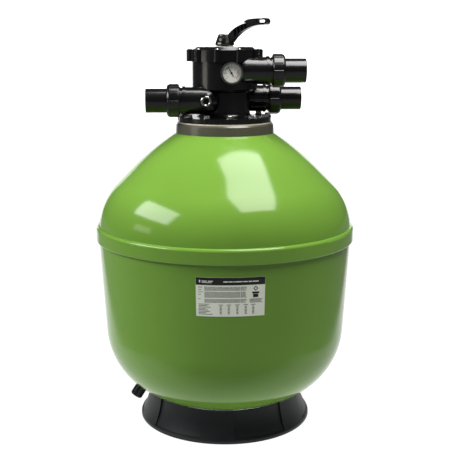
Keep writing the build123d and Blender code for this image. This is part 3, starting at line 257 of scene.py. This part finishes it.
radius_low = ring_radius(label_points, label_low.z)
radius_high = ring_radius(label_points, label_high.z)
label_height = label_high.z - label_low.z
label_half = radius_high * asin(label_high.x / radius_high)
print_lift = 0.12 * MM
print_sink = 0.03 * MM
print_step = 7


def on_label(across, down, lift):
    """Point on the label: across from its middle and down from its top, in millimetres."""
    z = label_high.z - down * MM
    radius = radius_low + (radius_high - radius_low) * (z - label_low.z) / label_height + lift
    turn = across * MM / radius_high
    return Vector((radius * sin(turn), -radius * cos(turn), z))


def add_print(bm, left, right, top, bottom):
    """A printed bar, bent to the label in steps of about print_step millimetres."""
    steps = max(1, round((right - left) / print_step))
    across = [left + (right - left) * k / steps for k in range(steps + 1)]
    grids = [[[on_label(a, d, lift) for a in across] for d in (top, bottom)]
             for lift in (-print_sink, print_lift)]
    add_slab(bm, *grids)


# the label's layout, in millimetres across from its middle and down from its top
half = label_half / MM
header_height = 17.5
header_inset = 0.3
column_left = -72
word_thick = 1.1
ink = bmesh.new()
add_print(ink, -half + header_inset, half - header_inset, header_inset, header_height)
finish_mesh("label_header", ink, "ink_black")

# generic marks on the header: a block and three bars at the left, and a line of words
marks_lift = 0.06 * MM
ink = bmesh.new()
for left, right, top, bottom in ((-70, -67, 6, 12), (-64, -52, 7.5, 9.5), (-50, -39, 7.5, 9.5),
                                 (-64, -42, 11.2, 12.4)):
    add_print(ink, left, right, top, bottom)
for left, right in ((-16, -6), (-4.5, 4), (5.5, 9), (10.5, 26), (28, 38), (39.5, 47), (48.5, 62)):
    add_print(ink, left, right, 8.4, 10.8)
for vert in ink.verts:
    vert.co += Vector((vert.co.x, vert.co.y, 0)).normalized() * marks_lift
finish_mesh("label_header_marks", ink, "label_grey")

ink = bmesh.new()
# left column of short words
for top, width in ((22, 9), (27.5, 7), (33, 10), (38.5, 6), (49, 5)):
    add_print(ink, column_left, column_left + width, top, top + word_thick)

# three paragraphs of fine lines, each line broken into words
paragraph_left, paragraph_right = -58.0, 38
line_pitch, line_thick, word_space = 2.3, 1.15, 1.3
word_lengths = (7, 4, 9, 5, 11, 3, 8, 6, 10, 4)
paragraphs = ((21.5, 4), (33.0, 6), (49.5, 4))
line_tops = [top + line_pitch * k for top, lines in paragraphs for k in range(lines)]
for row, top in enumerate(line_tops):
    left, word = paragraph_left, row * 3
    row_end = paragraph_right - (row * 7) % 5
    while left < row_end - 4:
        length = word_lengths[word % len(word_lengths)]
        right = min(left + length, row_end)
        add_print(ink, left, right, top, top + line_thick)
        left, word = right + word_space, word + 1

# block of names at the lower left, and a table of figures under its headings
row_pitch = 3.3
name_top, name_thick = 61, 1.3
for row, width in enumerate((24, 20, 27, 16, 22, 26, 18, 32)):
    top = name_top + row_pitch * row
    add_print(ink, column_left, column_left + width, top, top + name_thick)
heading_half, heading_top, heading_thick = 5, 62.2, 1.4
figure_half, figure_top, figure_thick = 2.4, 66, 1.6
for column in (-22, -4, 15, 34, 51):
    add_print(ink, column - heading_half, column + heading_half, heading_top, heading_top + heading_thick)
    for row in range(6):
        top = figure_top + row_pitch * row
        add_print(ink, column - figure_half, column + figure_half, top, top + figure_thick)

# four short lines at the right, under the icons, with uneven ends
note_left, note_right, note_top, note_pitch = 42, 72, 50, 2.4
for row in range(4):
    top = note_top + note_pitch * row
    add_print(ink, note_left + row % 2, note_right - 2 * (row % 3), top, top + word_thick)
finish_mesh("label_print", ink, "ink_grey")

# a plain diamond outline and two dark boxes
diamond_across, diamond_down = 56, 26
diamond_radii = (3.4, 5.8)
ink = bmesh.new()
for k in range(4):
    ring = [[(diamond_across + r * cos(turn), diamond_down + r * sin(turn)) for r in diamond_radii]
            for turn in (radians(90 * k), radians(90 * (k + 1)))]
    grids = [[[on_label(a, d, lift) for a, d in row] for row in ring]
             for lift in (-print_sink, print_lift)]
    add_slab(ink, *grids)
add_print(ink, 48, 64, 33.5, 38)
add_print(ink, 50, 62, 38.8, 46.5)
finish_mesh("label_icons", ink, "ink_black")


# ------------------------------------------------------------------ gauge dial
dial_low, dial_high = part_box("gauge_dial")
dial_centre = (dial_low + dial_high) / 2
gauge_turn = atan2(dial_centre.x, -dial_centre.y)
gauge_out = Vector((sin(gauge_turn), -cos(gauge_turn), 0))
gauge_right = Vector((cos(gauge_turn), sin(gauge_turn), 0))
dial_radius = (dial_high.z - dial_low.z) / 2
dial_face = max(v.co.dot(gauge_out) for v in nodes["gauge_dial"].data.vertices)


def on_dial(radius, clock, lift):
    """Point on the dial: clock is in degrees clockwise from straight up."""
    turn = radians(clock)
    flat = gauge_right * sin(turn) * radius + Vector((0, 0, cos(turn) * radius))
    return gauge_out * (dial_face + lift) + Vector((0, 0, dial_centre.z)) + flat


def add_dial_mark(bm, inner, outer, start, end):
    """A band of the dial between two radii and two clock angles, in steps of about four degrees."""
    steps = max(1, round((end - start) / 4))
    turns = [start + (end - start) * k / steps for k in range(steps + 1)]
    grids = [[[on_dial(r, t, height) for t in turns] for r in (inner, outer)]
             for height in (-print_sink, print_lift)]
    add_slab(bm, *grids)


scale_start, scale_end = -135, 135
scale_steps, steps_per_number = 30, 5
scale_outer, major_inner, minor_inner = dial_radius * 0.9, dial_radius * 0.74, dial_radius * 0.82
major_half, minor_half = 1.1, 0.6  # half widths in degrees
zone_inner, zone_outer = dial_radius * 0.66, dial_radius * 0.71
ink = bmesh.new()
for k in range(scale_steps + 1):
    clock = scale_start + (scale_end - scale_start) * k / scale_steps
    major = k % steps_per_number == 0
    inner = major_inner if major else minor_inner
    half_width = major_half if major else minor_half
    add_dial_mark(ink, inner, scale_outer, clock - half_width, clock + half_width)
finish_mesh("dial_marks", ink, "ink_black")
for name, material, start, end in (("dial_red_zone", "ink_red", 62, 135),
                                   ("dial_green_zone", "ink_green", -100, -20)):
    ink = bmesh.new()
    add_dial_mark(ink, zone_inner, zone_outer, start, end)
    finish_mesh(name, ink, material)


# ------------------------------------------------------------------ valve lid
# six raised position marks round the lever, without lettering
lid_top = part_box("valve_lid")[1].z
mark_count = 6
mark_inner, mark_outer = 47 * MM, 53 * MM
mark_half, mark_sink, mark_rise = 1.1 * MM, 0.2 * MM, 0.5 * MM
bm = bmesh.new()
for k in range(mark_count):
    turn = radians(360 / mark_count * k)
    out = Vector((sin(turn), -cos(turn), 0))
    across = Vector((-out.y, out.x, 0))
    grids = [[[out * r + across * w * mark_half + Vector((0, 0, z)) for w in (-1, -0.5, 0.5, 1)]
              for r in (mark_inner, mark_outer)]
             for z in (lid_top - mark_sink, lid_top + mark_rise)]
    add_slab(bm, *grids)
finish_mesh("lid_marks", bm, "valve_black", smooth=False)


# ------------------------------------------------------------------ dial numbers
number_size = 3.4 * MM
number_ring = dial_radius * 0.55
number_thick = 0.06 * MM
number_lift = 0.09 * MM


def add_number(text, clock):
    """A figure on the dial, drawn with the built-in font as a thin solid."""
    curve = bpy.data.curves.new("dial_number_" + text, "FONT")
    curve.body = text
    curve.size = number_size
    curve.align_x = "CENTER"
    curve.align_y = "CENTER"
    curve.extrude = number_thick
    obj = bpy.data.objects.new("dial_number_" + text, curve)
    scene.collection.objects.link(obj)
    up = Vector((0, 0, 1))
    turn = Matrix((gauge_right, up, gauge_out)).transposed().to_4x4()
    obj.matrix_world = Matrix.Translation(on_dial(number_ring, clock, number_lift)) @ turn
    curve.materials.append(materials["ink_black"])
    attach(obj, "filter")


numbers = ("0", "10", "20", "30", "40", "50", "60")
for k, text in enumerate(numbers):
    add_number(text, scale_start + (scale_end - scale_start) * k / (len(numbers) - 1))


# ------------------------------------------------------------------ studio
def area_light(name, place, target, width, height, power, colour=(1, 1, 1)):
    """A rectangular light at a place, in metres, that faces a target."""
    data = bpy.data.lights.new(name, "AREA")
    data.shape = "RECTANGLE"
    data.size = width
    data.size_y = height
    data.energy = power
    data.color = colour
    obj = bpy.data.objects.new(name, data)
    scene.collection.objects.link(obj)
    obj.location = place
    obj.rotation_euler = (Vector(target) - Vector(place)).to_track_quat("-Z", "Y").to_euler()
    return obj


def stage_sheet(name, bm, look):
    """Makes a sheet of the studio, which isn't part of the object, from a bmesh."""
    mesh = bpy.data.meshes.new(name)
    bm.to_mesh(mesh)
    bm.free()
    mesh.materials.append(look.mat)
    obj = bpy.data.objects.new(name, mesh)
    scene.collection.objects.link(obj)


# a large softbox overhead faces straight down, so only its turn about the vertical is left to set
overhead_turn = radians(23)
overhead = area_light("overhead_box", place=(0.73, -0.59, 2.6), target=(0.73, -0.59, 0),
                      width=1.27, height=1.8, power=94, colour=(1, 0.98, 0.95))
overhead.rotation_euler = (0, 0, overhead_turn)
# a second softbox high at the left, and a dim card at the left, level with the valve
area_light("left_box", place=(-1.9, -0.5, 1.86), target=(0, 0, 0.62), width=1.65, height=0.85, power=54)
area_light("side_card", place=(-1.5, -0.42, 0.79), target=(0, 0, 0.85),
           width=0.5, height=0.2, power=1.1, colour=(1, 0.93, 0.84))

world = bpy.data.worlds.new("studio")
world.use_nodes = True
scene.world = world
sky = world.node_tree.nodes["Background"]
sky.inputs["Color"].default_value = (0.9, 0.95, 1.0, 1)
sky.inputs["Strength"].default_value = 0.07

# the floor glows white in a wedge that widens from the tank's front to the wall, glows a little far away,
# and is grey paper elsewhere; wedge_half is the wedge's half width in line with the tank's middle
wedge_front, wedge_fade = -0.31, 0.17
wedge_half, wedge_widening, wedge_side_fade = 0.645, 0.28, 0.16
far_start, far_end, far_glow, white_glow = 1.0, 3.0, 0.2, 0.97
paper = Look("studio_paper", Roughness=0.9, IOR=1.2, Emission_Color=(1, 1, 1, 1))
axes = paper.node("ShaderNodeSeparateXYZ")
paper.link(paper.place, axes.inputs["Vector"])
front = paper.range(axes.outputs["Y"], 0, 1, wedge_front - wedge_fade, wedge_front)
side = paper.math("ABSOLUTE", axes.outputs["X"])
edge = paper.math("MULTIPLY_ADD", axes.outputs["Y"], wedge_widening, wedge_half)
beyond = paper.math("SUBTRACT", side, edge)
white = paper.math("MULTIPLY", front, paper.range(beyond, 1, 0, 0, wedge_side_fade))
paper.colour(paper.ramp(white, (0, srgb(138, 138, 138)), (1, srgb(90, 90, 90))))
away = paper.node("ShaderNodeVectorMath", operation="LENGTH")
paper.link(paper.place, away.inputs[0])
far = paper.range(away.outputs["Value"], 0, far_glow, far_start, far_end)
lit = paper.math("MAXIMUM", paper.range(white, 0, white_glow, 0, 1), far)
paper.link(lit, paper.shader.inputs["Emission Strength"])
paper.rough(paper.range(paper.noise(3), 0.85, 0.95))
floor_size = 14.0
bm = bmesh.new()
bmesh.ops.create_grid(bm, x_segments=2, y_segments=2, size=floor_size / 2)
stage_sheet("studio_floor", bm, paper)

glow = Look("studio_glow", Roughness=0.9, Emission_Strength=1.0, Emission_Color=(1, 1, 1, 1))
glow.colour(glow.ramp(glow.noise(3), (0.3, srgb(238, 238, 238)), (0.7, srgb(242, 242, 242))))
wall_y, wall_half, wall_high = 3.2, 1.6, 1.35
bm = bmesh.new()
bm.faces.new([bm.verts.new(p) for p in ((-wall_half, wall_y, 0), (wall_half, wall_y, 0),
                                        (wall_half, wall_y, wall_high), (-wall_half, wall_y, wall_high))])
stage_sheet("studio_wall", bm, glow)

# ------------------------------------------------------------------ camera
camera_distance = 2.2408
camera_height = 0.9321
camera_pitch = 11.44  # degrees below the horizon
camera_yaw = radians(-2.4)
camera = bpy.data.objects.new("camera", bpy.data.cameras.new("camera"))
scene.collection.objects.link(camera)
camera.location = (camera_distance * sin(camera_yaw), -camera_distance * cos(camera_yaw), camera_height)
camera.rotation_euler = (radians(90 - camera_pitch), 0, camera_yaw)
camera.data.sensor_width = 36
camera.data.lens = 71.9
camera.data.shift_x = 0.0092
camera.data.clip_start = 0.05
scene.camera = camera
scene.view_settings.view_transform = "Standard"
scene.view_settings.look = "None"
